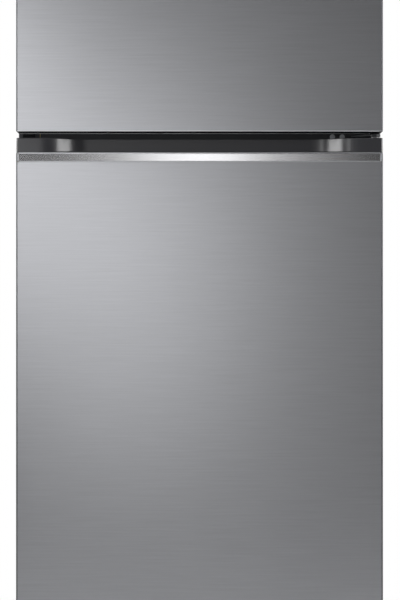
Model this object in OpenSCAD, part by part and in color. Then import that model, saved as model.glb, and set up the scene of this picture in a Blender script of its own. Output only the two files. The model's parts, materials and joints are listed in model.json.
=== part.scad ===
// Top freezer refrigerator: foamed steel cabinet, two right-hinged doors with a pocket handle
// between them, shelves, drawers and door bins inside, compressor and condenser in the rear base.
// Front is -Y, the hinges are on +X, the floor is Z = 0 and the origin is under the middle of the box.

/* [Overall] */
// Width of cabinet and doors
total_w = 700; // [690:5:730]
// Depth from the handle strip to the back panel
total_d = 730; // [720:5:760]
// Height from the floor to the top of the hinge cover
total_h = 1780; // [1760:5:1820]

/* [Doors] */
// Thickness of a door from its steel front to its inner liner
door_t = 64; // [62:1:66]
// Open gap between the two doors
door_gap = 11.5; // [11:0.5:12]
// Height of the fridge door's top edge above the floor
fridge_door_top = 1194.5; // [1180:0.5:1200]
// Distance of the hinge axis from the side of the door
hinge_inset_x = 14; // [13:1:16]
// Distance of the hinge axis from the front of the door
hinge_inset_y = 27; // [26:1:29]

/* [Handle] */
// Height of the dark handle cap that shows above the metal strip
cap_h = 28; // [26:1:30]
// Height of the metal strip
strip_h = 18.5; // [17:0.5:20]
// Depth of the finger pocket behind the door's front
pocket_d = 34; // [32:1:36]
// Distance from the centre to the middle of each curved pocket end
pocket_mid_x = 260; // [250:1:265]
// Length of each curved pocket end
pocket_bend_l = 90; // [80:5:95]

/* [Insulation] */
// Side wall thickness, case to liner
side_wall = 48; // [46:1:50]
// Rear wall thickness
rear_wall = 60; // [56:1:62]
// Roof thickness
roof = 50; // [46:1:54]

/* [Sheet] */
// Thickness of the steel case, doors and back
steel_t = 1; // [0.8:0.1:1.2]
// Thickness of the formed plastic liners
liner_t = 1.5; // [1.2:0.1:2]

/* [Inside] */
// Height of each shelf's underside in the fridge, lowest first
shelf_z = [335, 570, 790, 1010];
// Height of the freezer shelf's underside
freezer_shelf_z = 1460; // [1440:5:1480]
// Thickness of the glass panes
glass_t = 4; // [3.2:0.2:4]

/* [Hidden] */
$fn = 48;
eps = 0.5;

// Widths
half_w = total_w / 2;
cavity_x = half_w - side_wall;

// Depths, front to back
strip_front = -total_d / 2;
door_front = strip_front + 1;
door_back = door_front + door_t;
gasket_t = 11.5;
cabinet_front = door_back + 12;
flange_w = 40;
cabinet_back = total_d / 2;
foam_front = cabinet_front + 2;
foam_back = cabinet_back - steel_t;
cavity_back = cabinet_back - rear_wall;
bin_depth = 105;
shelf_front = door_back + bin_depth + 15;
shelf_back = cavity_back - 65;

// Heights, floor to top
case_z = 32;
pan_z = 50;
pan_t = 1.2;
fridge_door_z = 58;
end_cap_h = 10;
fridge_floor = 100;
fridge_ceiling = fridge_door_top - 26.5;
freezer_door_z = fridge_door_top + door_gap;
freezer_floor = freezer_door_z + 34;
hinge_cover_h = 22;
case_top = total_h - hinge_cover_h;
freezer_door_top = case_top - 2;
freezer_ceiling = case_top - roof;
cap_z = fridge_door_top - cap_h;
strip_z = cap_z - strip_h;

// Machine room in the rear base, and the raised floor that it makes in the fridge
room_y = 168;
room_floor = 38;
room_top = 236;
step_y = 118;
step_z = 284;
cavity_r = 20;

// Hinge line shared by both doors
hinge_x = half_w - hinge_inset_x;
hinge_y = door_front + hinge_inset_y;
pin_r = 4.5;
bush_r = 4.58;
collar_r = 9;
hinge_plate_t = 3;
arm_t = 3.5;
middle_arm_z = fridge_door_top + 4;
bottom_arm_z = fridge_door_z - 10;

// Raised ridge on each door liner, and the bins between its sides
dike_x = cavity_x - 14;
dike_w = 30;
dike_d = 32;
dike_clear = 12;
bin_x = dike_x - dike_w;
bin_wall = 2.2;
freezer_bins = [[freezer_floor + 62, 88], [freezer_floor + 252, 88]];
fridge_bins = [[fridge_floor + 55, 150], [fridge_floor + 410, 95], [fridge_floor + 710, 95]];

// Gaskets
gasket_w = 16;
gasket_x = half_w - 22;

// Wheels, feet and the things turned by hand
roller_r = 16;
roller_w = 18;
roller_at = [300, 300, roller_r];
axle_r = 4;
axle_l = 32;
foot_at = [285, cabinet_front + 43];
stud_r = 5;
running_gap = 0.05;

// Machine room contents
compressor_at = [150, 262];
fan_r = 68;
condenser_fan_at = [-95, 262, 135];
evaporator_fan_at = [0, cavity_back - 62, freezer_floor + 330];
shaft_r = 3;
cord_hole_r = 6;
cord_hole_at = [-300, 90];

// Ice maker
ice_x = -cavity_x + 80;
ice_pivot_z = freezer_ceiling - 68;
ice_y = [shelf_front + 35, shelf_front + 235];

function arc(cx, cy, r, from, to, n = 6) =
    [for (i = [0 : n]) let (a = from + (to - from) * i / n) [cx + r * cos(a), cy + r * sin(a)]];

// Outline of a rectangle with round corners, anticlockwise
function round_rect(x0, x1, y0, y1, r) = concat(
    arc(x1 - r, y1 - r, r, 0, 90), arc(x0 + r, y1 - r, r, 90, 180),
    arc(x0 + r, y0 + r, r, 180, 270), arc(x1 - r, y0 + r, r, 270, 360));

module box(x, y, z) {
    translate([x[0], y[0], z[0]]) cube([x[1] - x[0], y[1] - y[0], z[1] - z[0]]);
}

// Box centred on the middle of the object
module wide(half, y, z) {
    box([-half, half], y, z);
}

// Outline in X and Z, drawn out along Y
module along_y(points, y) {
    translate([0, y[1], 0]) rotate([90, 0, 0]) linear_extrude(y[1] - y[0]) polygon(points);
}

// Outline in Y and Z, drawn out along X
module along_x(points, x) {
    translate([x[0], 0, 0]) rotate([90, 0, 90]) linear_extrude(x[1] - x[0]) polygon(points);
}

// Outline in X and Y, drawn out along Z
module along_z(points, z) {
    translate([0, 0, z[0]]) linear_extrude(z[1] - z[0]) polygon(points);
}

module rod_y(x, z, r, y) {
    translate([x, y[1], z]) rotate([90, 0, 0]) cylinder(r = r, h = y[1] - y[0]);
}

module rod_x(y, z, r, x) {
    translate([x[0], y, z]) rotate([0, 90, 0]) cylinder(r = r, h = x[1] - x[0]);
}

module rod_z(x, y, r, z) {
    translate([x, y, z[0]]) cylinder(r = r, h = z[1] - z[0]);
}

// Open-topped tray with round upright corners
module tub(x, y, z, wall, r) {
    difference() {
        along_z(round_rect(x[0], x[1], y[0], y[1], r), z);
        along_z(round_rect(x[0] + wall, x[1] - wall, y[0] + wall, y[1] - wall, r - wall),
            [z[0] + wall, z[1] + eps]);
    }
}

// Cavities of the two compartments, grown by g for the outside of their liners
module freezer_space(g, front) {
    along_y(round_rect(-cavity_x - g, cavity_x + g, freezer_floor - g, freezer_ceiling + g,
        cavity_r + g), [front, cavity_back + g]);
}

module fridge_space(g, front) {
    along_y(round_rect(-cavity_x - g, cavity_x + g, fridge_floor - g, fridge_ceiling + g,
        cavity_r + g), [front, step_y + g]);
    along_y(round_rect(-cavity_x - g, cavity_x + g, step_z - g, fridge_ceiling + g,
        cavity_r + g), [front, cavity_back + g]);
}

// Edges of the opening inside the case's front flange
lip_x = half_w - steel_t - flange_w;
lip_top = case_top - steel_t - flange_w;

// Screw places: X and Z on the front, X and Y on the roof
middle_screws = [for (x = [half_w - 93, half_w - 74]) [x, middle_arm_z + 2]];
bottom_screws = [for (x = [half_w - 78, half_w - 52]) [x, pan_z - 8]];
top_screws = [[half_w - 52, cabinet_front + 22], [half_w - 22, cabinet_front + 40],
    [half_w - 40, cabinet_front + 78]];
screw_r = 2.4;
screw_head_r = 5;
screw_l = 12;

module screw_holes(r) {
    for (s = middle_screws) rod_y(s[0], s[1], r, [cabinet_front - 10, cabinet_front + screw_l + 1]);
    for (s = bottom_screws) rod_y(s[0], s[1], r, [cabinet_front - 10, cabinet_front + screw_l + 1]);
    for (s = top_screws) rod_z(s[0], s[1], r, [case_top - screw_l - 1, case_top + 10]);
}

module hinge_screws() {
    plate_y = cabinet_front - hinge_plate_t;
    color("silver") {
        for (s = concat(middle_screws, bottom_screws)) difference() {
            union() {
                rod_y(s[0], s[1], screw_head_r, [plate_y - 2.6, plate_y]);
                rod_y(s[0], s[1], screw_r, [plate_y - eps, cabinet_front + screw_l]);
            }
            for (turn = [0, 90]) translate([s[0], plate_y - 2.6, s[1]]) rotate([0, turn, 0])
                cube([5.6, 2.4, 1.2], center = true);
        }
        for (s = top_screws) difference() {
            union() {
                rod_z(s[0], s[1], screw_head_r, [case_top + hinge_plate_t, case_top + hinge_plate_t + 2.6]);
                rod_z(s[0], s[1], screw_r, [case_top - screw_l, case_top + hinge_plate_t + eps]);
            }
            for (turn = [0, 90]) translate([s[0], s[1], case_top + hinge_plate_t + 2.6])
                rotate([0, 0, turn]) cube([5.6, 1.2, 2.4], center = true);
        }
    }
}

// ---------------------------------------------------------------- cabinet

module outer_case() {
    corner_r = 5;
    outside = concat([[half_w, case_z]], arc(half_w - corner_r, case_top - corner_r, corner_r, 0, 90),
        arc(-half_w + corner_r, case_top - corner_r, corner_r, 90, 180), [[-half_w, case_z]]);
    inner_w = half_w - steel_t;
    inner_r = corner_r - steel_t;
    inside = concat([[inner_w, case_z - 1]],
        arc(half_w - corner_r, case_top - corner_r, inner_r, 0, 90),
        arc(-half_w + corner_r, case_top - corner_r, inner_r, 90, 180), [[-inner_w, case_z - 1]]);
    color("dimgray") difference() {
        along_y(outside, [cabinet_front, foam_back]);
        along_y(inside, [cabinet_front + steel_t, foam_back + eps]);
        wide(lip_x, [cabinet_front - eps, cabinet_front + 2 * steel_t], [case_z - 1, lip_top]);
        screw_holes(screw_r + 0.1);
    }
}

module back_panel() {
    color("gainsboro") {
        wide(half_w, [foam_back, cabinet_back], [room_top + pan_t, case_top]);
    }
}

// Bottom frame: a sheet stepped up over the machine room, its sills and side plates, the front
// cross rail with the feet's nuts, the room's floor and the roller cheeks
module base_frame() {
    inner_w = half_w - steel_t;
    sill_t = 2;
    rail = [cabinet_front + 1, cabinet_front + 82];
    cheek_t = 2;
    step = [[foam_front, pan_z], [room_y, pan_z], [room_y, room_top], [foam_back, room_top],
        [foam_back, room_top + pan_t], [room_y - pan_t, room_top + pan_t],
        [room_y - pan_t, pan_z + pan_t], [foam_front, pan_z + pan_t]];
    color("lightsteelblue") difference() {
        union() {
            along_x(step, [-inner_w, inner_w]);
            difference() {
                wide(inner_w, rail, [case_z + 1, pan_z + eps]);
                wide(inner_w - sill_t, [rail[0] + 2, rail[1] - 2], [case_z, pan_z]);
            }
            for (side = [-1, 1]) {
                sill(side, rail[0], [case_z + 1, pan_z + eps], sill_t);
                sill(side, room_y - pan_t, [room_floor, room_top + eps], sill_t);
                rod_z(side * foot_at[0], foot_at[1], 11, [case_z + 1, pan_z + eps]);
            }
            wide(inner_w - eps, [room_y - pan_t, foam_back - 3], [room_floor, room_floor + 2]);
            wide(inner_w - eps, [room_y - pan_t, room_y], [room_floor, pan_z + eps]);
            for (side = [-1, 1], x = [-1, 1]) {
                cx = side * roller_at[0] + x * (roller_w / 2 + 2 + cheek_t / 2);
                box([cx - cheek_t / 2, cx + cheek_t / 2],
                    [roller_at[1] - 14, roller_at[1] + 14], [roller_at[2] - 8, room_floor + eps]);
            }
        }
        for (side = [-1, 1]) {
            rod_x(roller_at[1], roller_at[2], axle_r + 0.02,
                [side * roller_at[0] - 20, side * roller_at[0] + 20]);
            rod_z(side * foot_at[0], foot_at[1], stud_r + running_gap, [case_z - 1, pan_z]);
        }
        for (dx = [-60, 60], dy = [-55, 55])
            rod_z(compressor_at[0] + dx, compressor_at[1] + dy, 4, [room_floor - 1, room_floor + 3]);
        screw_holes(screw_r + 0.1);
    }
}

module sill(side, y, z, t) {
    x = [side * (half_w - steel_t), side * (half_w - steel_t - t)];
    box([min(x), max(x)], [y, foam_back - 1], z);
}

module cabinet_foam() {
    color("khaki") difference() {
        wide(half_w - steel_t, [foam_front, foam_back], [pan_z + pan_t, case_top - steel_t]);
        for (side = [-1, 1]) roof_corner(side);
        freezer_space(liner_t, foam_front - 1);
        fridge_space(liner_t, foam_front - 1);
        wide(half_w, [room_y - pan_t, foam_back + 1], [pan_z, room_top + pan_t]);
        screw_holes(screw_r + 0.1);
    }
}

// What the case's rounded roof corner takes off the foam
module roof_corner(side) {
    r = 4;
    x = side * (half_w - steel_t);
    z = case_top - steel_t;
    along_y(concat([[x + side, z + 1]], [[x + side, z - r]], [[x, z - r]], [[x - side * r, z]],
        [[x - side * r, z + 1]]), [foam_front - 1, foam_back + 1]);
}

module fridge_liner() {
    color("white") difference() {
        union() {
            fridge_space(liner_t, cabinet_front);
            wide(lip_x - 1, [cabinet_front, cabinet_front + liner_t], [pan_z + 2, fridge_ceiling + 3.5]);
        }
        fridge_space(0, cabinet_front - 1);
    }
}

module freezer_liner() {
    color("white") difference() {
        union() {
            freezer_space(liner_t, cabinet_front);
            wide(lip_x - 1, [cabinet_front, cabinet_front + liner_t], [freezer_floor - 3.5, lip_top - 1]);
        }
        freezer_space(0, cabinet_front - 1);
    }
}

crisper_rail_z = 320;

// Ledges along the side walls that carry the shelves, and the wider pair that the crisper runs on
module shelf_rails() {
    color("white") {
        for (z = shelf_z) ledge(z, shelf_back, 9);
        ledge(crisper_rail_z, shelf_back, 25);
        ledge(freezer_shelf_z, cover_y - 6, 9);
    }
}

module ledge(z, back_y, reach) {
    for (side = [-1, 1]) {
        x = [side * cavity_x, side * (cavity_x - reach)];
        box([min(x), max(x)], [shelf_front + 10, back_y], [z - 8, z]);
    }
}

module mullion_rail() {
    color("darkslategray") difference() {
        wide(lip_x - 1, [cabinet_front, cabinet_front + pan_t],
            [fridge_ceiling + 4, freezer_floor - 4]);
        screw_holes(screw_r + 0.1);
    }
}

module toe_grille() {
    front = door_front + 42;
    z = [14, 46];
    grille_x = half_w - 5;
    color("dimgray") {
        difference() {
            wide(grille_x, [front, front + 3], z);
            for (i = [-9 : 9]) louvre(i * 30, front);
        }
        for (side = [-1, 1]) {
            x = [side * grille_x, side * (grille_x - 3)];
            box([min(x), max(x)], [front + 2.5, cabinet_front - 4], z);
            box([side * 150 - 20, side * 150 + 20], [front + 2.5, cabinet_front + 1], [36, 39]);
        }
    }
}

module louvre(x, front) {
    for (z = [22, 30]) box([x - 11, x + 11], [front - 1, front + 4], [z, z + 3.5]);
}

module machine_cover() {
    cover = [foam_back - 1, cabinet_back];
    color("lightgray") difference() {
        union() {
            wide(half_w - 1, cover, [case_z + 2, room_top]);
            rod_y(cord_hole_at[0], cord_hole_at[1], cord_hole_r + 4,
                [foam_back - 8, cabinet_back]);
        }
        for (col = [-2 : 2], row = [0 : 6])
            box([col * 105 - 38, col * 105 + 38], [foam_back - 3, cabinet_back + 1],
                [70 + row * 20, 77 + row * 20]);
        rod_y(cord_hole_at[0], cord_hole_at[1], cord_hole_r, [foam_back - 10, cabinet_back + 1]);
    }
}

// ---------------------------------------------------------------- hinges

// Plan outline of a hinge arm: a plate from the cabinet that ends in a round eye at the pin
function arm_outline(x_root, y_root) = concat(
    [[x_root, y_root], [x_root, hinge_y + 26]],
    arc(hinge_x, hinge_y, 11, 215, 360, 10),
    [[hinge_x + 11, y_root]]);

module middle_hinge() {
    plate = [cabinet_front - hinge_plate_t, cabinet_front];
    color("silver") difference() {
        union() {
            box([half_w - 105, half_w - 4], plate, [middle_arm_z - 14, middle_arm_z + 17]);
            along_z(arm_outline(half_w - 56, plate[1]), [middle_arm_z, middle_arm_z + arm_t]);
            rod_z(hinge_x, hinge_y, pin_r, [middle_arm_z - 20, middle_arm_z + 24]);
        }
        screw_holes(screw_r + 0.1);
    }
}

module top_hinge() {
    color("silver") difference() {
        union() {
            along_z(arm_outline(half_w - 66, cabinet_front + 96), [case_top, case_top + hinge_plate_t]);
            rod_z(hinge_x, hinge_y, pin_r, [case_top - 20, case_top + hinge_plate_t]);
        }
        screw_holes(screw_r + 0.1);
    }
}

module top_hinge_cover() {
    x = [half_w - 74, half_w - 0.5];
    y = [hinge_y - 14, cabinet_front + 104];
    wall = 2;
    color("dimgray") difference() {
        along_z(round_rect(x[0], x[1], y[0], y[1], 8), [case_top, total_h]);
        along_z(round_rect(x[0] + wall, x[1] - wall, y[0] + wall, y[1] - wall, 6),
            [case_top - 1, total_h - wall]);
    }
}

module bottom_hinge() {
    plate = [cabinet_front - hinge_plate_t, cabinet_front];
    color("silver") difference() {
        union() {
            box([half_w - 90, half_w - 4], plate, [case_z + 3, fridge_door_z + 8]);
            along_z(arm_outline(half_w - 70, plate[1]), [bottom_arm_z, bottom_arm_z + arm_t]);
            rod_z(hinge_x, hinge_y, pin_r, [bottom_arm_z, fridge_door_z + 16]);
        }
        screw_holes(screw_r + 0.1);
    }
}

// Plugs over the unused left-hand hinge holes
module hole_covers() {
    color("dimgray") {
        box([-half_w + 8, -half_w + 32], [cabinet_front - 3, cabinet_front],
            [middle_arm_z - 12, middle_arm_z + 15]);
        along_z(round_rect(-half_w + 15, -half_w + 55, cabinet_front + 15, cabinet_front + 90, 6),
            [case_top, case_top + 3]);
    }
}

// ---------------------------------------------------------------- machine room

module compressor() {
    base = room_floor + 2;
    color("#26282b") translate([compressor_at[0], compressor_at[1], base]) difference() {
        union() {
            rotate_extrude() polygon(concat([[0, 14]], arc(0, 14 + 46, 78, -36, 0, 6),
                [[80, 60], [80, 66]], arc(0, 66, 78, 0, 90, 8)));
            translate([0, 0, 20]) for (dx = [-60, 60], dy = [-55, 55])
                translate([dx, dy, 0]) cylinder(r = 13, h = 3);
            translate([-66, -60, 20]) cube([132, 120, 3]);
            translate([72, 0, 70]) rotate([0, 90, 0]) cylinder(r = 18, h = 22);
        }
        for (dx = [-60, 60], dy = [-55, 55]) translate([dx, dy, 0]) cylinder(r = 4.2, h = 40);
    }
}

module compressor_mounts() {
    color("#1a1a1a") for (dx = [-60, 60], dy = [-55, 55])
        translate([compressor_at[0] + dx, compressor_at[1] + dy, room_floor + 2]) {
            cylinder(r = 12, h = 8);
            translate([0, 0, 7]) cylinder(r = 9, h = 13);
            translate([0, 0, -3]) cylinder(r = 3.9, h = 28);
        }
}

// Wire-on-tube condenser: a serpentine of straight runs and half-turn bends
module condenser_coil() {
    tube_r = 3;
    pitch = 22;
    x = [-305, -175];
    color("#2b2b2b") for (row = [0, 1]) {
        y = 225 + row * 70;
        for (i = [0 : 6]) rod_x(y, 60 + i * pitch, tube_r, x);
        for (i = [0 : 5]) {
            right = i % 2 == 0;
            translate([right ? x[1] : x[0], y, 60 + (i + 0.5) * pitch])
                rotate([90, right ? -90 : 90, 0]) rotate_extrude(angle = 180, $fn = 24)
                    translate([pitch / 2, 0]) circle(r = tube_r, $fn = 16);
        }
    }
}

module condenser_shroud() {
    x = condenser_fan_at[0];
    y = condenser_fan_at[1];
    foot_z = [room_floor + 2, room_floor + 12];
    color("#303234") {
        difference() {
            box([x - 30, x - 26], [room_y + 4, foam_back - 5], [room_floor + 2, room_top - 4]);
            rod_x(y, condenser_fan_at[2], fan_r + 6, [x - 31, x - 25]);
        }
        for (dy = [-84, 84]) box([x - 28, x + 18], [y + dy - 3, y + dy + 3], foot_z);
        box([x + 14, x + 18], [y - 87, y + 87], foot_z);
        box([x + 14, x + 18], [y - 10, y + 10], [foot_z[1] - 2, condenser_fan_at[2] - 24.3]);
    }
}

// One shaded-pole fan motor, shaft towards +Z
module fan_motor() {
    cylinder(r = 24, h = 26);
    translate([0, 0, 25]) cylinder(r = 8, h = 5);
    translate([0, 0, 29]) cylinder(r = shaft_r, h = 12);
}

module fan_motors() {
    color("gray") {
        translate([condenser_fan_at[0] + 32, condenser_fan_at[1], condenser_fan_at[2]])
            rotate([0, -90, 0]) fan_motor();
        translate([evaporator_fan_at[0], cavity_back, evaporator_fan_at[2]])
            rotate([90, 0, 0]) fan_motor();
    }
}

// Axial fan on +Z, standing on z = 0, with a blind bore for the motor shaft
module fan(r) {
    hub_h = 14;
    difference() {
        union() {
            cylinder(r = 16, h = hub_h);
            for (i = [0 : 5]) rotate([0, 0, i * 60]) translate([13, 0, hub_h / 2])
                rotate([28, 0, 0]) translate([0, -r * 0.21, -1])
                    cube([r - 16, r * 0.42, 2]);
        }
        translate([0, 0, -1]) cylinder(r = shaft_r + running_gap, h = 13);
    }
}

module condenser_fan() {
    color("#e8e8e6") translate([condenser_fan_at[0], condenser_fan_at[1], condenser_fan_at[2]])
        rotate([0, -90, 0]) fan(fan_r);
}

module evaporator_fan() {
    color("#e8e8e6") translate([evaporator_fan_at[0], cavity_back - 31, evaporator_fan_at[2]])
        rotate([90, 0, 0]) fan(fan_r - 8);
}

module drain_pan() {
    x = [compressor_at[0] - 85, compressor_at[0] + 85];
    y = [compressor_at[1] - 75, compressor_at[1] + 75];
    color("#3a3d40") tub(x, y, [room_top - 50, room_top - 14], 1.8, 12);
    color("#3a3d40") for (dy = [-1, 1])
        box([x[0] - 8, x[0] + 1], [compressor_at[1] + dy * 50 - 10, compressor_at[1] + dy * 50 + 10],
            [room_top - 20, room_top]);
}

module roller_axles() {
    color("silver") for (side = [-1, 1])
        rod_x(roller_at[1], roller_at[2], axle_r,
            [side * roller_at[0] - axle_l / 2, side * roller_at[0] + axle_l / 2]);
}

module roller(side) {
    color("#202224") translate([side * roller_at[0], roller_at[1], roller_at[2]]) rotate([0, 90, 0])
        rotate_extrude() polygon([[axle_r + running_gap, -roller_w / 2], [roller_r - 2, -roller_w / 2],
            [roller_r, -roller_w / 2 + 2], [roller_r, roller_w / 2 - 2],
            [roller_r - 2, roller_w / 2], [axle_r + running_gap, roller_w / 2]]);
}

module roller_left() { roller(-1); }
module roller_right() { roller(1); }

module foot(side) {
    color("#202224") translate([side * foot_at[0], foot_at[1], 0]) {
        cylinder(r = 18, h = 7);
        translate([0, 0, 6]) cylinder(r1 = 17, r2 = 10, h = 6);
        translate([0, 0, 21]) cylinder(r = 10, h = 10, $fn = 6);
        translate([0, 0, 10]) cylinder(r = stud_r, h = pan_z - 13);
    }
}

module foot_left() { foot(-1); }
module foot_right() { foot(1); }

// ---------------------------------------------------------------- freezer inside

cover_y = cavity_back - 82;

module evaporator_cover() {
    color("whitesmoke") difference() {
        union() {
            along_y(round_rect(-cavity_x, cavity_x, freezer_floor, freezer_ceiling, cavity_r),
                [cover_y, cover_y + 3]);
            translate([evaporator_fan_at[0], cover_y + 18, evaporator_fan_at[2]])
                rotate([90, 0, 0]) cylinder(r = fan_r + 6, h = 16);
        }
        for (i = [-3 : 3]) {
            reach = sqrt(pow(fan_r - 4, 2) - pow(i * 17, 2));
            box([-reach, reach], [cover_y - 1, cover_y + 4],
                [evaporator_fan_at[2] + i * 17 - 5, evaporator_fan_at[2] + i * 17 + 5]);
        }
        rod_y(evaporator_fan_at[0], evaporator_fan_at[2], fan_r + 3, [cover_y + 3, cover_y + 20]);
        for (i = [-6 : 6]) box([i * 38 - 14, i * 38 + 14], [cover_y - 1, cover_y + 4],
            [freezer_floor + 24, freezer_floor + 32]);
    }
}

// Finned coil that freezes the air behind the cover
module evaporator() {
    z = [freezer_floor + 45, freezer_floor + 225];
    y = [cover_y + 12, cavity_back - 8];
    tube_r = 4;
    color("silver") {
        for (i = [-9 : 9]) box([i * 24 - 0.5, i * 24 + 0.5], y, z);
        for (row = [0 : 3], col = [0, 1])
            rod_x(y[0] + 16 + col * 34, z[0] + 22 + row * 45, tube_r, [-238, 238]);
    }
}

// Shelf frame: a rim with a ledge that the glass pane lies on
module shelf_frame(z, front_h, back_y = shelf_back) {
    frame_x = cavity_x - 2;
    rim = 6;
    difference() {
        union() {
            along_z(round_rect(-frame_x, frame_x, shelf_front, back_y, 8), [z, z + 13]);
            wide(frame_x - 8, [shelf_front - 2, shelf_front + 12], [z - front_h + 13, z + 13.5]);
        }
        wide(frame_x - rim, [shelf_front + 12, back_y - rim], [z + 7, z + 20]);
        wide(frame_x - rim - 12, [shelf_front + 22, back_y - rim - 10], [z - 1, z + 20]);
    }
}

module pane(z, back_y = shelf_back) {
    pane_x = cavity_x - 8.2;
    wide(pane_x, [shelf_front + 12.2, back_y - 6.2], [z + 7, z + 7 + glass_t]);
}

module freezer_shelf() {
    color("white") shelf_frame(freezer_shelf_z, 16, cover_y - 6);
}

module crisper_cover() {
    slot_z = [shelf_z[0] + 2, shelf_z[0] + 9];
    color("white") difference() {
        shelf_frame(shelf_z[0], 13);
        wide(45, [shelf_front - 3, shelf_front + 3], slot_z);
    }
}

module shelf_frames() {
    color("white") for (i = [1 : 3]) shelf_frame(shelf_z[i], 16);
}

module shelf_panes() {
    color([0.8, 0.9, 0.88, 0.5]) {
        for (z = shelf_z) pane(z);
        pane(freezer_shelf_z, cover_y - 6);
    }
}

// Open frame for the ice tray, hung beside the left wall
module ice_tray_housing() {
    x = [-cavity_x, ice_x + 72];
    z = [ice_pivot_z - 52, ice_pivot_z + 38];
    color("whitesmoke") difference() {
        box(x, [ice_y[0] - 4, ice_y[1] + 4], z);
        box([x[0] + 4, x[1] - 3], [ice_y[0] - 1, ice_y[1] + 1], [z[0] - 1, z[1] + 1]);
        rod_y(ice_x, ice_pivot_z, 6 + running_gap, [ice_y[0] - 5, ice_y[0]]);
        rod_y(ice_x, ice_pivot_z, 4 + running_gap, [ice_y[1], ice_y[1] + 5]);
    }
}

// Twist tray with its front lever; it turns about its long axis to drop the cubes
module ice_tray() {
    cube_w = 28;
    rows = 6;
    length = ice_y[1] - ice_y[0];
    pitch = (length - 10) / rows;
    color("aliceblue") difference() {
        union() {
            box([ice_x - 46, ice_x + 46], [ice_y[0] + 1, ice_y[1] - 1],
                [ice_pivot_z - 26, ice_pivot_z + 6]);
            rod_y(ice_x, ice_pivot_z, 6, [ice_y[0] - 12, ice_y[0] + 2]);
            rod_y(ice_x, ice_pivot_z, 4, [ice_y[1] - 2, ice_y[1] + 4]);
            rod_y(ice_x, ice_pivot_z, 17, [ice_y[0] - 14, ice_y[0] - 6]);
            box([ice_x - 5, ice_x + 5], [ice_y[0] - 22, ice_y[0] - 10],
                [ice_pivot_z - 34, ice_pivot_z + 15]);
        }
        for (row = [0 : rows - 1], col = [-1, 0, 1])
            translate([ice_x + col * 30, ice_y[0] + 5 + (row + 0.5) * pitch, ice_pivot_z - 22])
                translate([-cube_w / 2, -pitch / 2 + 1.5, 0]) cube([cube_w, pitch - 3, 40]);
    }
}

module ice_bin() {
    x = [ice_x - 72, ice_x + 70];
    z = [freezer_shelf_z + 14, freezer_shelf_z + 104];
    color([0.85, 0.93, 1, 0.6]) {
        tub(x, [shelf_front + 22, ice_y[1] + 30], z, 2.2, 10);
        box([x[0] + 30, x[1] - 30], [shelf_front + 14, shelf_front + 23], [z[1] - 14, z[1] - 8]);
    }
}

// ---------------------------------------------------------------- fridge inside

module air_duct() {
    deep = 28;
    front = cavity_back - deep;
    half = 95;
    outline = [[-half, cavity_back], [-half, front + 12], [-half + 12, front], [half - 12, front],
        [half, front + 12], [half, cavity_back]];
    inner = [[-half + 2, cavity_back + 1], [-half + 2, front + 13], [-half + 13, front + 2],
        [half - 13, front + 2], [half - 2, front + 13], [half - 2, cavity_back + 1]];
    z = [shelf_z[0] + 20, fridge_ceiling - 20];
    color("whitesmoke") difference() {
        along_z(outline, z);
        along_z(inner, [z[0] + 3, z[1] - 3]);
        for (base = [shelf_z[0], shelf_z[1], shelf_z[2], shelf_z[3] - 40], side = [-1, 1], i = [0 : 2])
            box([side * 52 - 18, side * 52 + 18], [front - 1, front + 3],
                [base + 120 + i * 11, base + 126 + i * 11]);
    }
}

module lamp_lens() {
    color([0.95, 0.97, 1, 0.8]) along_z(round_rect(-130, 130, 10, 90, 14),
        [fridge_ceiling - 9, fridge_ceiling]);
}

knob_at = [70, fridge_ceiling - 17];
control_y = [shelf_front + 18, shelf_front + 108];

module control_housing() {
    color("whitesmoke") {
        along_x([[control_y[0], fridge_ceiling], [control_y[0], fridge_ceiling - 34],
            [control_y[0] + 14, fridge_ceiling - 34], [control_y[1], fridge_ceiling - 14],
            [control_y[1], fridge_ceiling]], [-140, 140]);
        rod_y(knob_at[0], knob_at[1], shaft_r, [control_y[0] - 10, control_y[0] + 1]);
    }
}

module temperature_knob() {
    front = control_y[0] - 13;
    back = control_y[0] - 0.5;
    color("lightgray") difference() {
        union() {
            rod_y(knob_at[0], knob_at[1], 15, [back - 6, back]);
            rod_y(knob_at[0], knob_at[1], 12, [front, back]);
            box([knob_at[0] - 2.5, knob_at[0] + 2.5], [front - 3, front + 1],
                [knob_at[1] - 12, knob_at[1] + 12]);
        }
        rod_y(knob_at[0], knob_at[1], shaft_r + running_gap, [front + 1, back + 1]);
    }
}

module humidity_slider() {
    z = [shelf_z[0] + 2.3, shelf_z[0] + 8.7];
    color("dimgray") {
        box([-9, 9], [shelf_front - 4, shelf_front + 2.6], z);
        box([-5, 5], [shelf_front - 8, shelf_front - 3.5], [z[0] - 1, z[1] + 1]);
    }
}

drawer_x = 272;

module crisper_drawer() {
    front = shelf_front;
    z = [fridge_floor + 12, crisper_rail_z + 6];
    low_back = step_y - 10;
    high_back = shelf_back + 20;
    upper_z = step_z + 12;
    wall = 2.5;
    color([0.82, 0.9, 0.95, 0.6]) difference() {
        union() {
            wide(drawer_x, [front, low_back], z);
            wide(drawer_x, [front, high_back], [upper_z, z[1]]);
            wide(drawer_x + 12, [front + 14, high_back], [crisper_rail_z + 0.3, z[1]]);
            wide(drawer_x - 60, [front - 6, front + 1], [z[1] - 40, z[1] - 32]);
        }
        wide(drawer_x - wall, [front + 5, low_back - wall], [z[0] + wall, z[1] + 1]);
        wide(drawer_x - wall, [front + 5, high_back - wall], [upper_z + wall, z[1] + 1]);
    }
}

module chill_drawer() {
    x = [-270, 270];
    y = [shelf_front + 4, shelf_back - 4];
    z = [shelf_z[3] + 14, shelf_z[3] + 104];
    color([0.82, 0.9, 0.95, 0.6]) {
        tub(x, y, z, 2.5, 8);
        box([-200, 200], [y[0] - 7, y[0] + 1], [z[1] - 20, z[1] - 13]);
    }
}

// ---------------------------------------------------------------- doors

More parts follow.
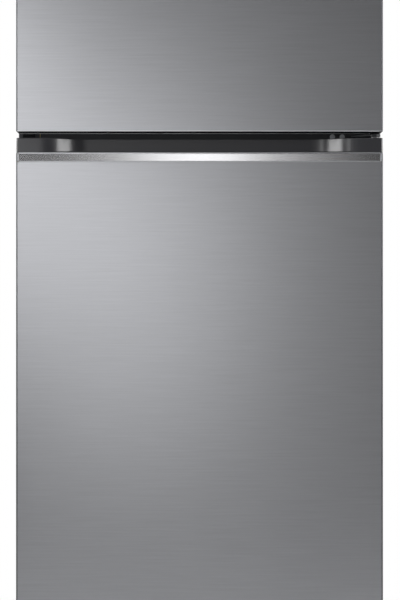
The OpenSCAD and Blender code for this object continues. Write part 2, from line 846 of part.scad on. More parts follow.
// Plan of a door's steel skin: the front sheet, bent back round both sides and in behind the foam
module door_skin_plan() {
    r = 5;
    lip = 14;
    difference() {
        polygon(concat([[half_w, door_back]], [[-half_w, door_back]],
            arc(-half_w + r, door_front + r, r, 180, 270), arc(half_w - r, door_front + r, r, 270, 360)));
        polygon(concat([[half_w - steel_t, door_back - steel_t]], [[-half_w + steel_t, door_back - steel_t]],
            arc(-half_w + r, door_front + r, r - steel_t, 180, 270),
            arc(half_w - r, door_front + r, r - steel_t, 270, 360)));
        translate([-half_w + lip, door_back - 2 * steel_t]) square([total_w - 2 * lip, 3 * steel_t]);
    }
}

module door_skin(z) {
    translate([0, 0, z[0]]) linear_extrude(z[1] - z[0]) door_skin_plan();
}

// Inside of the skin, filled with foam or closed by the end caps
foam_x = half_w - 1.5;
foam_y = [door_front + 1.5, door_back - 2];

module door_core(z) {
    r = 4;
    along_z(concat([[foam_x, foam_y[1]]], [[-foam_x, foam_y[1]]],
        arc(-foam_x + r, foam_y[0] + r, r, 180, 270), arc(foam_x - r, foam_y[0] + r, r, 270, 360)), z);
}

// Ridge ring on a door liner; inset shrinks it to the foam inside
module dike(z, inset, y) {
    difference() {
        along_y(round_rect(-dike_x + inset, dike_x - inset, z[0] + inset, z[1] - inset, 14 - inset), y);
        along_y(round_rect(-dike_x + dike_w - inset, dike_x - dike_w + inset,
            z[0] + dike_w - inset, z[1] - dike_w + inset, 8 + inset), [y[0] - 1, y[1] + 1]);
    }
}

module door_liner(door_z, dike_z) {
    sheet = [door_back - 2, door_back];
    difference() {
        union() {
            wide(half_w - 15, sheet, [door_z[0] + end_cap_h, door_z[1]]);
            dike(dike_z, 0, [sheet[0], door_back + dike_d]);
        }
        dike(dike_z, 2, [sheet[0] - 1, door_back + dike_d - 2]);
    }
}

module door_foam(z, dike_z) {
    door_core(z);
    dike(dike_z, 2, [foam_y[1] - 1, door_back + dike_d - 2]);
}

module gasket(z) {
    y = [door_back, door_back + gasket_t];
    difference() {
        along_y(round_rect(-gasket_x, gasket_x, z[0], z[1], 10), y);
        along_y(round_rect(-gasket_x + gasket_w, gasket_x - gasket_w, z[0] + gasket_w, z[1] - gasket_w, 4),
            [y[0] - 1, y[1] + 1]);
    }
}

// Bin that hangs between the sides of the ridge
module door_bin(z, h) {
    y = [door_back + 0.5, door_back + bin_depth];
    tub([-bin_x, bin_x], y, [z, z + h], bin_wall, 10);
    wide(bin_x - 14, [y[1] - 1, y[1] + 2], [z + h - 9, z + h - 2]);
}

module hinge_bush(z) {
    rod_z(hinge_x, hinge_y, bush_r, z);
}

freezer_dike_z = [freezer_floor + dike_clear, freezer_ceiling - dike_clear];
fridge_dike_z = [fridge_floor + dike_clear, fridge_ceiling - dike_clear];

module freezer_door_skin() {
    color("lightslategray") door_skin([freezer_door_z, freezer_door_top]);
}

// Finger trough on the underside of the freezer door
trough_x = 215;
trough_y = [door_front + 12, door_front + pocket_d];
trough_h = 24;

module freezer_door_bottom_cap() {
    z = [freezer_door_z, freezer_door_z + end_cap_h];
    color("#2b2c2f") difference() {
        union() {
            door_core([z[0] + 0.5, z[1]]);
            wide(trough_x + 3, [trough_y[0] - 3, trough_y[1] + 3], [z[1] - 1, z[0] + trough_h + 3]);
            rod_z(hinge_x, hinge_y, collar_r, [z[0] - 3.5, z[1] + 12]);
        }
        wide(trough_x, trough_y, [z[0] - 1, z[0] + trough_h]);
        hinge_bush([z[0] - 5, z[1] + 10]);
    }
}

module freezer_door_top_cap() {
    z = [freezer_door_top - end_cap_h, freezer_door_top];
    color("#2b2c2f") difference() {
        union() {
            door_core([z[0], z[1] - 0.5]);
            rod_z(hinge_x, hinge_y, collar_r, [z[0] - 12, z[1] + 1.7]);
        }
        hinge_bush([z[0] - 10, z[1] + 3]);
    }
}

module freezer_door_foam() {
    z = [freezer_door_z + end_cap_h, freezer_door_top - end_cap_h];
    color("khaki") difference() {
        door_foam(z, freezer_dike_z);
        wide(trough_x + 3, [trough_y[0] - 3, trough_y[1] + 3], [z[0] - 1, freezer_door_z + trough_h + 3]);
        rod_z(hinge_x, hinge_y, collar_r, [z[0] - 1, z[0] + 12]);
        rod_z(hinge_x, hinge_y, collar_r, [z[1] - 12, z[1] + 1]);
    }
}

module freezer_door_liner() {
    color("white") door_liner([freezer_door_z, freezer_door_top - end_cap_h], freezer_dike_z);
}

module freezer_door_gasket() {
    color("#8c8f93") gasket([freezer_door_z + 12, freezer_door_top - 14]);
}

module freezer_door_bins() {
    color([0.85, 0.93, 1, 0.6]) for (b = freezer_bins) door_bin(b[0], b[1]);
}

// The skin stops below the handle cap, and its front is cut away behind the metal strip
module fridge_door_skin() {
    color("lightslategray") difference() {
        door_skin([fridge_door_z, cap_z]);
        wide(half_w - 3, [door_front - 1, door_front + 4], [strip_z, cap_z + 1]);
    }
}

// Curved end of the finger pocket: two equal arcs that meet halfway
bend_a = 2 * atan(pocket_d / pocket_bend_l);
bend_r = pocket_bend_l / (2 * sin(bend_a));
bend_x = [pocket_mid_x + pocket_bend_l / 2, pocket_mid_x - pocket_bend_l / 2];
function pocket_bend(side) = [for (p = concat(
    arc(bend_x[0], door_front + bend_r, bend_r, -90, -90 - bend_a, 10),
    arc(bend_x[1], door_front + pocket_d - bend_r, bend_r, 90 - bend_a, 90, 10))) [side * p[0], p[1]]];
function backwards(list) = [for (i = [len(list) - 1 : -1 : 0]) list[i]];

module handle_cap() {
    r = 4;
    color("#2b2c2f") difference() {
        union() {
            along_z(concat([[half_w, door_back]], [[-half_w, door_back]],
                arc(-half_w + r, door_front + r, r, 180, 270),
                arc(half_w - r, door_front + r, r, 270, 360)), [cap_z, fridge_door_top]);
            wide(trough_x + 3, [trough_y[0] - 3, trough_y[1] + 3], [cap_z - trough_h - 3, cap_z + 1]);
            rod_z(hinge_x, hinge_y, collar_r, [cap_z + 1, fridge_door_top + 3.5]);
        }
        along_z(concat(pocket_bend(-1), backwards(pocket_bend(1)),
            [[bend_x[0], door_front - 5], [-bend_x[0], door_front - 5]]), [cap_z + 2, fridge_door_top + 1]);
        wide(trough_x, trough_y, [cap_z - trough_h, fridge_door_top + 1]);
        hinge_bush([cap_z + 3, fridge_door_top + 5]);
    }
}

module handle_strip() {
    chamfer = 1.2;
    y = [strip_front, strip_front + 4];
    color("gainsboro") along_x([[y[0] + chamfer, strip_z + 0.2], [y[0], strip_z + 0.2 + chamfer],
        [y[0], cap_z - chamfer], [y[0] + chamfer, cap_z], [y[1], cap_z], [y[1], strip_z + 0.2]],
        [-half_w + 3.2, half_w - 3.2]);
}

module fridge_door_foam() {
    z = [fridge_door_z + end_cap_h, cap_z];
    color("khaki") difference() {
        door_foam(z, fridge_dike_z);
        wide(half_w - 3, [door_front - 1, strip_front + 4], [strip_z, cap_z + 1]);
        wide(trough_x + 3, [trough_y[0] - 3, trough_y[1] + 3], [cap_z - trough_h - 3, cap_z + 1]);
        rod_z(hinge_x, hinge_y, collar_r, [z[0] - 1, z[0] + 12]);
    }
}

module fridge_door_bottom_cap() {
    z = [fridge_door_z, fridge_door_z + end_cap_h];
    color("#2b2c2f") difference() {
        union() {
            door_core([z[0] + 0.5, z[1]]);
            rod_z(hinge_x, hinge_y, collar_r, [z[0] - 6, z[1] + 12]);
        }
        hinge_bush([z[0] - 8, z[1] + 10]);
    }
}

module fridge_door_liner() {
    color("white") door_liner([fridge_door_z, cap_z], fridge_dike_z);
}

module fridge_door_gasket() {
    color("#8c8f93") gasket([fridge_door_z + 12, fridge_door_top - 12]);
}

module fridge_door_bins() {
    color([0.85, 0.93, 1, 0.6]) for (b = fridge_bins) door_bin(b[0], b[1]);
}

outer_case();
back_panel();
base_frame();
cabinet_foam();
freezer_liner();
fridge_liner();
shelf_rails();
mullion_rail();
toe_grille();
machine_cover();
top_hinge();
top_hinge_cover();
middle_hinge();
bottom_hinge();
hinge_screws();
hole_covers();
compressor();
compressor_mounts();
condenser_coil();
condenser_shroud();
drain_pan();
roller_axles();
fan_motors();
evaporator_cover();
evaporator();
freezer_shelf();
ice_tray_housing();
air_duct();
lamp_lens();
control_housing();
crisper_cover();
shelf_frames();
shelf_panes();
evaporator_fan();
condenser_fan();
ice_tray();
ice_bin();
temperature_knob();
humidity_slider();
crisper_drawer();
chill_drawer();
roller_left();
roller_right();
foot_left();
foot_right();
freezer_door_skin();
freezer_door_foam();
freezer_door_liner();
freezer_door_top_cap();
freezer_door_bottom_cap();
freezer_door_gasket();
freezer_door_bins();
fridge_door_skin();
fridge_door_foam();
fridge_door_liner();
handle_cap();
handle_strip();
fridge_door_bottom_cap();
fridge_door_gasket();
fridge_door_bins();
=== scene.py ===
# %% [markdown]
# # A refrigerator with the freezer on top
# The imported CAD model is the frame: its nodes stay where they are, and every piece made here
# rides on one of its bodies. Hidden parts keep their CAD shape and get a real finish. What the
# eye meets is modelled again with soft edges, folded sheet and moulded walls. All sizes in the
# calls are millimetres, because that is how an appliance is drawn; one factor turns them to
# Blender's metres.

# %% Frame and units
import bmesh
import bpy
import json
import math
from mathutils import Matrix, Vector

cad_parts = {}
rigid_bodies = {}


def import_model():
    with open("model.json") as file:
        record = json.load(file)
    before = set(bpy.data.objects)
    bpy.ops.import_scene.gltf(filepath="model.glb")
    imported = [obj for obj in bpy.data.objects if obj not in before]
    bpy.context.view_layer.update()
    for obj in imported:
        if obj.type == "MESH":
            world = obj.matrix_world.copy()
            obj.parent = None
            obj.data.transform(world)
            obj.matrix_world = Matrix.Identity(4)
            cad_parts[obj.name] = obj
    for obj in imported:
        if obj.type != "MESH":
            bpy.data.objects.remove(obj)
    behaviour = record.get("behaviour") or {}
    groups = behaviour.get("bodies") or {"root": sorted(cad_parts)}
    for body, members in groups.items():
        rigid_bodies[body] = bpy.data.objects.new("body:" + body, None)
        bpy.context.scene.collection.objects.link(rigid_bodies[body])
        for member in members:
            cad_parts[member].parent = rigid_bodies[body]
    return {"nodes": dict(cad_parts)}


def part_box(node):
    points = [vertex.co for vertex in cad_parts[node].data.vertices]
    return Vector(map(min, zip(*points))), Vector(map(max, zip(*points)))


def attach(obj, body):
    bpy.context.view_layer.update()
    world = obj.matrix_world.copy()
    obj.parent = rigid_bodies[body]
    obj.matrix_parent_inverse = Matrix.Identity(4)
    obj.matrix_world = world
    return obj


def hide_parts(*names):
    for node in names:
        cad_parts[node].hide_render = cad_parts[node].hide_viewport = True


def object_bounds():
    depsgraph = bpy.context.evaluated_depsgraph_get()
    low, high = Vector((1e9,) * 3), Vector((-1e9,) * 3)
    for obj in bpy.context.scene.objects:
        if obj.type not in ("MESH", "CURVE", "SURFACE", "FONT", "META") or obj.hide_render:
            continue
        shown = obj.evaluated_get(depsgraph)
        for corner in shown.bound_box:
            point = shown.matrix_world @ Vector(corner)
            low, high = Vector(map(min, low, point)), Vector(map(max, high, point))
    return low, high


bpy.ops.object.select_all(action="SELECT")
bpy.ops.object.delete()
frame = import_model()
cad_low, cad_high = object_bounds()
MM = 0.001


def span(node):
    """The x, y and z ranges of a CAD node, in mm."""
    low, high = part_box(node)
    return [(low[i] / MM, high[i] / MM) for i in range(3)]


# %% [markdown]
# ## Hands
# A few helpers do what a person does in the viewport: let go of everything, pick up a block,
# pick some of its faces or edges, run a modifier. A picked face is told by its middle and its
# normal, an edge by its middle and its direction.

# %% Helpers for modelling
def let_go():
    """Back to object mode with nothing selected."""
    active = bpy.context.view_layer.objects.active
    if active and active.mode != "OBJECT":
        bpy.ops.object.mode_set(mode="OBJECT")
    bpy.ops.object.select_all(action="DESELECT")


def take(piece, mode="OBJECT"):
    """Makes this piece the active one, in that mode."""
    let_go()
    bpy.context.view_layer.objects.active = piece
    piece.select_set(True)
    if mode == "EDIT":
        bpy.ops.object.mode_set(mode="EDIT")
        bpy.ops.mesh.select_all(action="DESELECT")


def block(name, x, y, z):
    """A closed block over three ranges, left in edit mode for shaping."""
    let_go()
    spans = (x, y, z)
    bpy.ops.mesh.primitive_cube_add(size=1, location=[sum(s) / 2 * MM for s in spans])
    piece = bpy.context.object
    piece.name = piece.data.name = name
    piece.scale = [(s[1] - s[0]) * MM for s in spans]
    bpy.ops.object.transform_apply(location=True, rotation=True, scale=True)
    take(piece, "EDIT")
    return piece


def disc(name, centre, radius, depth):
    """A closed upright round block, left in edit mode for shaping."""
    let_go()
    bpy.ops.mesh.primitive_cylinder_add(vertices=48, radius=radius * MM, depth=depth * MM,
                                        location=[c * MM for c in centre])
    piece = bpy.context.object
    piece.name = piece.data.name = name
    bpy.ops.object.transform_apply(location=True, rotation=True, scale=True)
    take(piece, "EDIT")
    return piece


def pick(what, test):
    """Selects the faces, edges or verts of the active mesh whose middle in mm, and whose normal
    or direction, pass the test."""
    bpy.ops.mesh.select_mode(type={"faces": "FACE", "edges": "EDGE", "verts": "VERT"}[what])
    bpy.ops.mesh.select_all(action="DESELECT")
    mesh = bmesh.from_edit_mesh(bpy.context.object.data)
    for part in getattr(mesh, what):
        if what == "edges":
            ends = [v.co for v in part.verts]
            where, way = (ends[0] + ends[1]) / 2, (ends[1] - ends[0]).normalized()
        else:
            where = part.co if what == "verts" else part.calc_center_median()
            way = part.normal
        if test(where / MM, way):
            part.select_set(True)
    bmesh.update_edit_mesh(bpy.context.object.data)


def bevel(width, segments=3):
    """Rounds the picked edges."""
    bpy.ops.mesh.bevel(offset=width * MM, segments=segments, affect="EDGES")


def inset(width, depth=0.0):
    """Draws a border inside the picked faces, and moves what it encloses by depth."""
    bpy.ops.mesh.inset(thickness=width * MM, depth=depth * MM)


def pull(y=0.0, z=0.0):
    """Extrudes the picked faces by that many mm."""
    bpy.ops.mesh.extrude_region_move(TRANSFORM_OT_translate={"value": (0, y * MM, z * MM)})


def cut(x=None, y=None, z=None):
    """Splits the whole mesh along one plane, without removing anything."""
    axis, value = next((i, v) for i, v in enumerate((x, y, z)) if v is not None)
    bpy.ops.mesh.select_all(action="SELECT")
    bpy.ops.mesh.bisect(plane_co=[value * MM if i == axis else 0 for i in range(3)],
                        plane_no=[1.0 if i == axis else 0.0 for i in range(3)])


def outward():
    """Welds doubles and turns every face outwards."""
    bpy.ops.mesh.select_all(action="SELECT")
    bpy.ops.mesh.remove_doubles(threshold=0.01 * MM)
    bpy.ops.mesh.normals_make_consistent(inside=False)


def modify(piece, kind, **settings):
    """Adds a modifier and applies it."""
    take(piece)
    step = piece.modifiers.new(kind, kind)
    for name, value in settings.items():
        setattr(step, name, value)
    bpy.ops.object.modifier_apply(modifier=step.name)


def place(piece, body, finish, *nodes, turn=35):
    """Smooths the piece, keeps its flats flat, gives it its finish and lets it ride on its body
    in place of CAD nodes."""
    take(piece)
    bpy.ops.object.shade_smooth_by_angle(angle=math.radians(turn))
    modify(piece, "WEIGHTED_NORMAL", keep_sharp=True, weight=100)
    piece.data.materials.clear()
    piece.data.materials.append(finish)
    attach(piece, body)
    if nodes:
        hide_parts(*nodes)
    return piece


def eased(node, body, finish, edge=0.8, segments=2, turn=40):
    """A welded copy of a CAD node with a small round on each sharp edge."""
    let_go()
    piece = bpy.data.objects.new(node + "_eased", frame["nodes"][node].data.copy())
    bpy.context.scene.collection.objects.link(piece)
    take(piece, "EDIT")
    bpy.ops.mesh.select_all(action="SELECT")
    bpy.ops.mesh.remove_doubles(threshold=0.01 * MM)
    bpy.ops.mesh.dissolve_limited(angle_limit=math.radians(0.5))
    modify(piece, "BEVEL", width=edge * MM, segments=segments, limit_method="ANGLE",
           angle_limit=math.radians(turn), use_clamp_overlap=True)
    return place(piece, body, finish, node)


# %% [markdown]
# ## Finishes
# Colours are written as the sRGB codes of a paint card and turned to linear light by one
# function. One small function adds a shader node. Grain, brush lines and moulding texture are
# given by their real size: a feature of s mm is a noise of scale 1000 / s on coordinates in
# metres.

# %% Helpers for finishes
def colour(code):
    parts = [int(code[i:i + 2], 16) / 255 for i in (1, 3, 5)]
    return [c / 12.92 if c <= 0.04045 else ((c + 0.055) / 1.055) ** 2.4 for c in parts] + [1.0]


def add(tree, kind, inputs={}, **settings):
    """Adds a shader node: settings are its own, inputs are values or other nodes' outputs."""
    made = tree.nodes.new("ShaderNode" + kind)
    for name, value in settings.items():
        setattr(made, name, value)
    for name, value in inputs.items():
        if isinstance(value, bpy.types.NodeSocket):
            tree.links.new(value, made.inputs[name])
        else:
            made.inputs[name].default_value = value
    return made


def finish(name, **values):
    """A new material; values are set on the shader's own sockets."""
    made = bpy.data.materials.new(name)
    made.use_nodes = True
    shader = made.node_tree.nodes["Principled BSDF"]
    for socket, value in values.items():
        shader.inputs[socket.replace("_", " ")].default_value = value
    return made, made.node_tree, shader


def per_mm(size):
    """Noise scale whose features are about that many mm."""
    return 1000.0 / size


# %% [markdown]
# ### Brushed-look coated steel
# The doors are pre-coated steel with a clear film printed and pressed to look like horizontal
# brushing. It gives a broad satin sheen with very fine level lines, a few of them a little
# lighter or darker. The lines are long along X and 0.5 to 4 mm high, coarser than the real
# 0.1 mm ones, so that they show. A darker, duller copy for the sheet's turned-back sides is
# painted shade, and a lighter copy for the rolled lower edge is a painted highlight. The
# handle's aluminium strip is drawn and anodised, so it is smoother and its lines are finer.

# %% Coated steel for the doors
def brushed_coat(name, base, roughness, contrast, relief=0.1, streak=(130.0, 60.0, 3.0)):
    made, tree, shader = finish(name, Metallic=1.0)
    place_in = add(tree, "TexCoord").outputs["Object"]
    scale = [per_mm(s) for s in streak]
    lines = add(tree, "Mapping", {"Vector": place_in, "Scale": scale})
    fine = add(tree, "TexNoise", {"Vector": lines.outputs[0], "Scale": 1.0, "Detail": 6.0,
                                  "Roughness": 0.7})
    clouds = add(tree, "TexNoise", {"Vector": place_in, "Scale": per_mm(420), "Detail": 2.0})
    tone = add(tree, "MapRange", {"Value": fine.outputs[0], "From Min": 0.25, "From Max": 0.75,
                                  "To Min": 1.0 - contrast, "To Max": 1.0 + contrast})
    mixed = add(tree, "Mix", {0: 1.0, 6: colour(base), 7: tone.outputs[0]},
                data_type="RGBA", blend_type="MULTIPLY")
    tree.links.new(mixed.outputs[2], shader.inputs["Base Color"])
    gloss = add(tree, "Math", {0: fine.outputs[0], 1: contrast, 2: roughness - 0.05},
                operation="MULTIPLY_ADD")
    soft = add(tree, "Math", {0: clouds.outputs[0], 1: 0.04, 2: gloss.outputs[0]},
               operation="MULTIPLY_ADD")
    tree.links.new(soft.outputs[0], shader.inputs["Roughness"])
    bump = add(tree, "Bump", {"Height": fine.outputs[0], "Strength": relief, "Distance": 0.0001})
    tree.links.new(bump.outputs[0], shader.inputs["Normal"])
    return made


door_steel = brushed_coat("coated_steel_brushed", "#bcbdc1", 0.35, 0.07)
# Painted shade: a darker, duller copy of the door steel for the skins' turned-back sides.
painted_shade_side_steel = brushed_coat("coated_steel_painted_shade_side", "#505155", 0.5, 0.06)
# Painted highlight: a lighter copy of the door steel for the rolled lower hem.
painted_highlight_hem_steel = brushed_coat("coated_steel_painted_highlight_hem", "#e0e1e4", 0.35, 0.05)
strip_metal = brushed_coat("aluminium_anodised_satin", "#e6e6e8", 0.17, 0.008, 0.0,
                           (300.0, 20.0, 0.7))

# %% [markdown]
# ### Mouldings, paint, plating, rubber and clear plastic
# ABS and polystyrene mouldings differ by colour, gloss and the spark-eroded grain of the tool:
# the handle's charcoal ABS has a soft gloss. The caps and covers in the shadow of the gap take
# a darker, duller black, which is painted shade.
# Painted sheet has a fine orange peel, zinc plate is cloudy, galvanised sheet has spangles of
# about 6 mm, and rubber is dull with a dusty bloom.

# %% Opaque finishes
def grained(name, base, roughness, grain, relief, mottle=0.03, metallic=0.0, coat=0.0,
            film=0.12, gleam=0.5):
    """A surface with a grain of that many mm, pressed in by relief mm, and a slight mottle.
    coat is a clear film's weight and film its roughness; gleam is the reflection level."""
    made, tree, shader = finish(name, Metallic=metallic, Coat_Weight=coat, Coat_Roughness=film,
                                Specular_IOR_Level=gleam)
    place_in = add(tree, "TexCoord").outputs["Object"]
    fine = add(tree, "TexNoise", {"Vector": place_in, "Scale": per_mm(grain), "Detail": 3.0})
    broad = add(tree, "TexNoise", {"Vector": place_in, "Scale": per_mm(90), "Detail": 3.0})
    dark, light = [[c * f for c in colour(base)[:3]] + [1.0] for f in (1 - mottle, 1 + mottle)]
    ramp = add(tree, "ValToRGB", {"Fac": broad.outputs[0]})
    ramp.color_ramp.elements[0].color, ramp.color_ramp.elements[1].color = dark, light
    ramp.color_ramp.elements[0].position, ramp.color_ramp.elements[1].position = 0.3, 0.7
    tree.links.new(ramp.outputs[0], shader.inputs["Base Color"])
    rough = add(tree, "Math", {0: fine.outputs[0], 1: 0.1, 2: roughness - 0.05},
                operation="MULTIPLY_ADD")
    tree.links.new(rough.outputs[0], shader.inputs["Roughness"])
    bump = add(tree, "Bump", {"Height": fine.outputs[0], "Strength": 0.5,
                              "Distance": relief * MM})
    tree.links.new(bump.outputs[0], shader.inputs["Normal"])
    return made


dark_abs = grained("abs_moulded_charcoal", "#2e2e32", 0.4, 0.9, 0.01, coat=1.0, film=0.24)
# Painted shade: a darker, duller black than the charcoal ABS, for the caps and covers in the gap.
black_abs_painted_shade = grained("abs_black_matt_painted_shade", "#1a1a1c", 0.85, 0.9, 0.01, gleam=0.1)
case_paint = grained("steel_painted_grey", "#77787d", 0.45, 1.6, 0.03)
# Dark steel paint: the real colour of the mullion rail, and painted shade on the middle hinge,
# the case's front flange and the door skins' undersides.
dark_paint_and_painted_shade = grained("steel_dark_paint_and_painted_shade", "#2e2f33", 0.5, 1.6, 0.02)
white_hips = grained("polystyrene_formed_white", "#eef0f1", 0.22, 14.0, 0.05, 0.01)
white_abs = grained("abs_moulded_white", "#e9ebec", 0.3, 1.2, 0.01, 0.01)
grey_pvc = grained("pvc_gasket_grey", "#8b8e92", 0.55, 0.8, 0.02)
black_rubber = grained("rubber_moulded_black", "#1b1c1e", 0.75, 0.7, 0.03, 0.1)
foam_yellow = grained("polyurethane_foam", "#d8c587", 0.85, 2.0, 0.4, 0.08)
black_enamel = grained("enamel_gloss_black", "#141518", 0.25, 2.5, 0.03, 0.05, coat=0.5)
zinc_plate = grained("steel_zinc_plated", "#c3c5c9", 0.33, 1.5, 0.01, 0.08, metallic=1.0)
mill_aluminium = grained("aluminium_fin_stock", "#cfd1d4", 0.35, 0.6, 0.01, 0.05, metallic=1.0)


# %% Galvanised sheet
def spangled(name):
    made, tree, shader = finish(name, Metallic=1.0)
    place_in = add(tree, "TexCoord").outputs["Object"]
    cells = add(tree, "TexVoronoi", {"Vector": place_in, "Scale": per_mm(6)})
    tint = add(tree, "SeparateColor", {0: cells.outputs["Color"]})
    ramp = add(tree, "ValToRGB", {"Fac": tint.outputs[0]})
    ramp.color_ramp.elements[0].color = colour("#adb2b6")
    ramp.color_ramp.elements[1].color = colour("#c0c4c8")
    tree.links.new(ramp.outputs[0], shader.inputs["Base Color"])
    rough = add(tree, "Math", {0: tint.outputs[0], 1: 0.18, 2: 0.34}, operation="MULTIPLY_ADD")
    tree.links.new(rough.outputs[0], shader.inputs["Roughness"])
    return made


galvanised = spangled("steel_galvanised")


# %% [markdown]
# Bins and drawers are crystal polystyrene, and the shelves are toughened glass. Both let light
# through; the plastic has faint flow ripples and the glass a green tint.

# %% Clear finishes
def clear(name, tint, roughness, ior, ripple):
    made, tree, shader = finish(name, Transmission_Weight=0.97, IOR=ior)
    place_in = add(tree, "TexCoord").outputs["Object"]
    waves = add(tree, "TexNoise", {"Vector": place_in, "Scale": per_mm(60), "Detail": 1.0})
    ramp = add(tree, "ValToRGB", {"Fac": waves.outputs[0]})
    ramp.color_ramp.elements[0].color = [c * 0.97 for c in colour(tint)[:3]] + [1.0]
    ramp.color_ramp.elements[1].color = colour(tint)
    tree.links.new(ramp.outputs[0], shader.inputs["Base Color"])
    rough = add(tree, "Math", {0: waves.outputs[0], 1: 0.04, 2: roughness},
                operation="MULTIPLY_ADD")
    tree.links.new(rough.outputs[0], shader.inputs["Roughness"])
    bump = add(tree, "Bump", {"Height": waves.outputs[0], "Strength": 0.3,
                              "Distance": ripple * MM})
    tree.links.new(bump.outputs[0], shader.inputs["Normal"])
    return made


crystal = clear("polystyrene_crystal", "#f3f8fb", 0.04, 1.45, 0.1)
pane_glass = clear("glass_toughened", "#d3ebe2", 0.02, 1.45, 0.02)
frosted = clear("polycarbonate_frosted", "#f2f6f8", 0.35, 1.45, 0.1)

# %% [markdown]
# ## Door skins
# Each door's front is one steel sheet, bent back round both sides and in behind the foam, with
# a small hem along its top and bottom. A solid block gets its bends as bevels first, because a
# bevel is even all along; then the inside is opened and the sheet gets its gauge. Afterwards,
# faces that look sideways get a darker finish and faces that look down the dark paint, both as
# painted shade, and faces out of the lower hem a lighter finish as a painted highlight.

# %% Steel skins
def paint(piece, finish, test):
    """Gives a second finish to the faces whose middle in mm and normal pass the test."""
    piece.data.materials.append(finish)
    for face in piece.data.polygons:
        if test(face.center / MM, face.normal):
            face.material_index = len(piece.data.materials) - 1


def folded_skin(name, body, node, window=None):
    """window: half width and lower edge of the front's cut-out behind the metal strip."""
    bend, hem_bend, hem_back, gauge, return_width = 3.6, 2.2, 0.16, 0.9, 14.0
    x, y, z = span(node)
    skin = block(name, x, y, z)
    pick("edges", lambda p, d: abs(d.z) > 0.9 and p.y < y[0] + 1)
    bevel(bend, 6)
    pick("edges", lambda p, d: abs(d.z) < 0.1 and p.y < y[1] - 1 and abs(p.z - sum(z) / 2) > 1
         and min(abs(p.z - z[0]), abs(p.z - z[1])) < 0.1)
    bevel(hem_bend, 4)
    for side, end in ((-1, z[0]), (1, z[1])):
        cut(z=end - side * 5)
        pick("verts", lambda p, n: p.y < y[0] + 0.1 and 1 < abs(p.z - end) < 4)
        bpy.ops.transform.translate(value=(0, hem_back * MM, 0))
        pick("faces", lambda p, n: n.z * side > 0.99)
        inset(1.2)
        bpy.ops.mesh.delete(type="FACE")
    pick("faces", lambda p, n: n.y > 0.99)
    inset(return_width)
    bpy.ops.mesh.delete(type="FACE")
    if window:
        cut(x=window[0])
        cut(x=-window[0])
        cut(z=window[1])
        pick("faces", lambda p, n: n.y < -0.1 and abs(p.x) < window[0] and p.z > window[1])
        bpy.ops.mesh.delete(type="FACE")
    modify(skin, "SOLIDIFY", thickness=gauge * MM, offset=-1)
    place(skin, body, door_steel, node)
    # Painted shade: faces that look sideways take the darker copy of the steel.
    paint(skin, painted_shade_side_steel, lambda p, n: abs(n.x) > 0.3)
    # Painted highlight: faces out of the lower hem take the lighter copy of the steel.
    paint(skin, painted_highlight_hem_steel, lambda p, n: n.y < -0.8 and p.z < z[0] + 2.6)
    # Painted shade: faces that look down take the dark paint.
    paint(skin, dark_paint_and_painted_shade, lambda p, n: n.z < -0.8)
    return skin


strip_x, strip_y, strip_z = span("handle_strip")
freezer_skin = folded_skin("freezer_door_front", "freezer_door", "freezer_door_skin")
fridge_skin = folded_skin("fridge_door_front", "fridge_door", "fridge_door_skin",
                          (strip_x[1] + 0.2, strip_z[0] - 0.2))
print("skins:", len(freezer_skin.data.polygons), len(fridge_skin.data.polygons), "faces")

# %% [markdown]
# ## Handle band
# The top of the lower door is a charcoal moulding. Its middle is set back to let fingers in,
# and at each end the wall swings forward again in one smooth S. A grid of narrow columns lets
# each column slide back to the S curve; pulled up, it is the wall. The floor and the trough
# behind the metal strip are a second sheet, sunk with extrude.

# %% Pocket wall
cap_x, cap_y = span("handle_cap")[:2]
lid_z = span("fridge_door_skin")[2][1]
wall_top = span("freezer_door_skin")[2][0] - 11.5
pocket_depth, bend_middle, bend_length = 34.0, 260.0, 90.0
wall_lean = 2.4
bend_angle = 2 * math.atan(pocket_depth / bend_length)
bend_radius = bend_length / (2 * math.sin(bend_angle))


def pocket_wall(x):
    """How far back the wall stands at x: two equal arcs that meet halfway."""
    run = min(max(bend_middle + bend_length / 2 - abs(x), 0.0), bend_length)
    if run < bend_length / 2:
        return bend_radius - math.sqrt(bend_radius ** 2 - run ** 2)
    rest = bend_length - run
    return pocket_depth - bend_radius + math.sqrt(bend_radius ** 2 - rest ** 2)


let_go()
bpy.ops.mesh.primitive_grid_add(x_subdivisions=160, y_subdivisions=1, size=1)
wall = bpy.context.object
wall.name = wall.data.name = "handle_pocket_wall"
wall.scale = ((cap_x[1] - cap_x[0]) * MM, (cap_y[1] - cap_y[0]) * MM, 1)
wall.location = (0, sum(cap_y) / 2 * MM, lid_z * MM)
bpy.ops.object.transform_apply(location=True, rotation=True, scale=True)
take(wall, "EDIT")
columns = sorted({round(v.co.x / MM, 2) for v in bmesh.from_edit_mesh(wall.data).verts})
for column in columns:
    if pocket_wall(column) > 0:
        pick("verts", lambda p, n: abs(p.x - column) < 0.1 and p.y < cap_y[0] + 1)
        bpy.ops.transform.translate(value=(0, pocket_wall(column) * MM, 0))
pick("faces", lambda p, n: True)
pull(z=wall_top - lid_z)
outward()
pick("verts", lambda p, n: p.z > wall_top - 1 and p.y < cap_y[0] + pocket_depth + 1)
bpy.ops.transform.translate(value=(0, wall_lean * MM, 0))
pick("edges", lambda p, d: abs(d.z) > 0.9 and p.y < cap_y[0] + 3 and abs(p.x) > cap_x[1] - 1)
bevel(4.0, 5)
pick("edges", lambda p, d: abs(p.z - wall_top) < 0.1 and abs(d.z) < 0.1 and not (
    abs(abs(p.x) - 345) > 10 and cap_y[0] + 40 < p.y < cap_y[1] - 1) and abs(d.y) < 0.999)
bevel(1.5, 3)
place(wall, "fridge_door", dark_abs, "handle_cap", turn=40)
print("pocket wall:", len(wall.data.polygons), "faces, bend", round(math.degrees(bend_angle), 1))

# %% [markdown]
# The pocket's floor is a thin shelf with a long trough sunk in it, right behind the metal
# strip, where the fingertips curl down. Cuts mark the trough's outline; the underside is
# pulled down first and the top after it, so a wall of 3 mm is left between them. A collar
# stands round the hinge pin.

